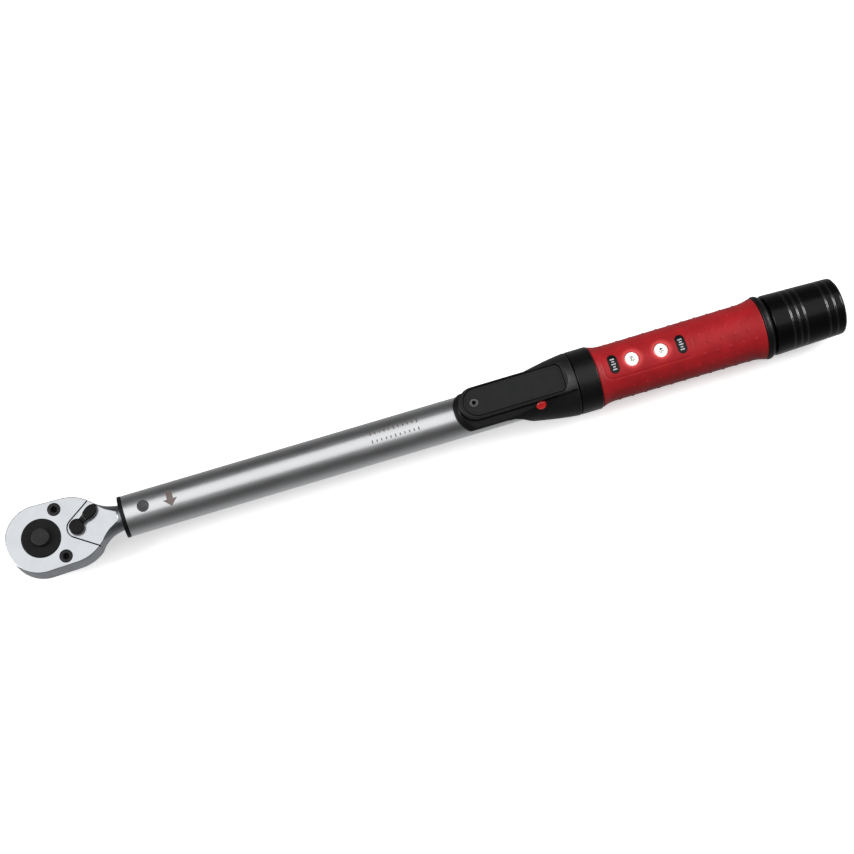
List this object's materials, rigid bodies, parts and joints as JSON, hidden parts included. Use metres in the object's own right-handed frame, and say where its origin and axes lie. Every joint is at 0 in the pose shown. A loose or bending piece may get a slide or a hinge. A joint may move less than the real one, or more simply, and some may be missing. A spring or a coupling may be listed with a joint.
{
  "type": "torque wrench",
  "caption": "Click-type torque wrench: ratchet head with square drive, steel tube, lit scale windows in a red dotted grip, and an adjusting knob.",
  "frame": {"origin": "centre of the square drive's end face", "axes": "+X along the tube from the square drive towards the adjusting knob, +Z out of the head's cover side, so the drive points down along -Z"},
  "size_m": [0.5245, 0.0414, 0.0495],
  "materials": {
    "polished_chrome": "mirror-polished chrome plate on the faces, satin on the side wall",
    "satin_chrome": "satin chrome",
    "dark_steel": "black oxide steel",
    "plain_steel": "machined steel",
    "cell_steel": "nickel-plated cell cans",
    "brass": "plain brass",
    "black_plastic": "fine-textured black plastic",
    "gloss_black": "glossy black plastic",
    "black_rubber": "soft black rubber",
    "red_rubber": "soft red grip with raised dots",
    "red_plastic": "glossy red",
    "white_plastic": "white",
    "window_white": "clear lens over a lit white scale, seen as glowing white",
    "board": "green circuit board"
  },
  "bodies": {
    "handle": {"tube": "satin_chrome", "front_ring": "black_rubber", "pivot_pin": "dark_steel", "main_spring": "plain_steel", "screw_nut": "brass", "nut_set_screw_1": "dark_steel", "nut_set_screw_2": "dark_steel", "housing": "black_plastic", "cover_seal": "black_rubber", "battery_cell_1": "cell_steel", "battery_cell_2": "cell_steel", "battery_cell_3": "cell_steel", "battery_contact": "brass", "circuit_board": "board", "light_switch": "plain_steel", "led_lead": "brass", "front_collar": "black_plastic", "grip_core": "black_plastic", "grip_sleeve": "red_rubber", "window_lens_1": "window_white", "window_lens_2": "window_white", "unit_label_1": "gloss_black", "unit_label_2": "gloss_black", "led_board": "board", "led_1": "white_plastic", "led_2": "white_plastic", "bumper_ring": "black_rubber", "lock_ring": "black_plastic", "end_bushing": "brass"},
    "head": {"head_body": "polished_chrome", "cover_plate": "polished_chrome", "cover_screw_1": "dark_steel", "cover_screw_2": "dark_steel"},
    "drive_gear": {"drive_gear": "dark_steel", "release_spring": "plain_steel"},
    "release_button": {"release_button": "dark_steel"},
    "drive_ball": {"drive_ball": "plain_steel"},
    "reversing_lever": {"reversing_lever": "dark_steel", "lever_clip": "plain_steel", "selector_ball": "plain_steel", "selector_spring": "plain_steel"},
    "pawl": {"pawl": "plain_steel"},
    "plunger": {"plunger": "plain_steel"},
    "tilt_block": {"tilt_block": "plain_steel"},
    "spring_seat": {"spring_seat": "plain_steel", "thrust_bearing": "brass"},
    "load_screw": {"load_screw": "plain_steel", "scale_drum": "white_plastic", "drum_set_screw": "dark_steel"},
    "lock_slider": {"lock_sleeve": "plain_steel"},
    "knob": {"knob": "gloss_black", "knob_shaft": "plain_steel", "knob_screw": "dark_steel", "knob_end_cap": "black_plastic"},
    "light_button": {"light_button": "red_plastic"},
    "battery_cover": {"battery_cover": "black_plastic", "battery_cover_screw": "plain_steel"}
  },
  "joints": [
    {"name": "head_click", "type": "hinge", "parent": "handle", "child": "head", "pos_m": [0.0626, 0, 0.0265], "axis": [0, 0, 1], "range_deg": [0, 2.5], "stiffness_Nm_per_rad": 40, "springref_deg": -1.15},
    {"name": "drive_spin", "type": "hinge", "parent": "head", "child": "drive_gear", "pos_m": [0, 0, 0], "axis": [0, 0, 1], "continuous": true},
    {"name": "release_press", "type": "slide", "parent": "drive_gear", "child": "release_button", "axis": [0, 0, -1], "range_m": [0, 0.0025], "stiffness_N_per_m": 600, "springref_m": -0.002, "deforming": ["release_spring"]},
    {"name": "ball_drop", "type": "slide", "parent": "drive_gear", "child": "drive_ball", "axis": [0, 1, 0], "range_m": [0, 0.00076]},
    {"name": "lever_turn", "type": "hinge", "parent": "head", "child": "reversing_lever", "pos_m": [0.0221, 0, 0.0265], "axis": [0, 0, 1], "range_deg": [-68, 0]},
    {"name": "pawl_shift", "type": "hinge", "parent": "head", "child": "pawl", "pos_m": [0, 0, 0.0265], "axis": [0, 0, 1], "range_deg": [0, 12]},
    {"name": "plunger_back", "type": "slide", "parent": "handle", "child": "plunger", "axis": [1, 0, 0], "range_m": [0, 0.0008]},
    {"name": "block_tilt", "type": "hinge", "parent": "plunger", "child": "tilt_block", "pos_m": [0.1129, 0, 0.0265], "axis": [0, 0, 1], "range_deg": [-10.1, 0]},
    {"name": "knob_pull", "type": "slide", "parent": "handle", "child": "lock_slider", "axis": [1, 0, 0], "range_m": [0, 0.004]},
    {"name": "knob_turn", "type": "hinge", "parent": "lock_slider", "child": "knob", "pos_m": [0.48, 0, 0.0265], "axis": [-1, 0, 0], "range_deg": [0, 3600]},
    {"name": "seat_feed", "type": "slide", "parent": "handle", "child": "spring_seat", "axis": [-1, 0, 0], "range_m": [0, 0.0201], "deforming": ["main_spring"]},
    {"name": "screw_turn", "type": "hinge", "parent": "spring_seat", "child": "load_screw", "pos_m": [0.2586, 0, 0.0265], "axis": [-1, 0, 0], "range_deg": [0, 3600]},
    {"name": "light_press", "type": "slide", "parent": "handle", "child": "light_button", "axis": [0, 0.6361, -0.7716], "range_m": [0, 0.0008], "stiffness_N_per_m": 400, "springref_m": -0.001},
    {"name": "cover_lift", "type": "slide", "parent": "handle", "child": "battery_cover", "axis": [0, 0, 1], "range_m": [0, 0.015]}
  ],
  "couplings": [
    {"joint": "ball_drop", "follows": "release_press", "ratio": 0.3},
    {"joint": "pawl_shift", "follows": "lever_turn", "ratio": -0.1764},
    {"joint": "plunger_back", "follows": "head_click", "m_per_rad": 0.018},
    {"joint": "block_tilt", "follows": "head_click", "ratio": -4},
    {"joint": "seat_feed", "follows": "knob_turn", "m_per_rad": 0.00031831},
    {"joint": "screw_turn", "follows": "knob_turn", "ratio": 1}
  ]
}
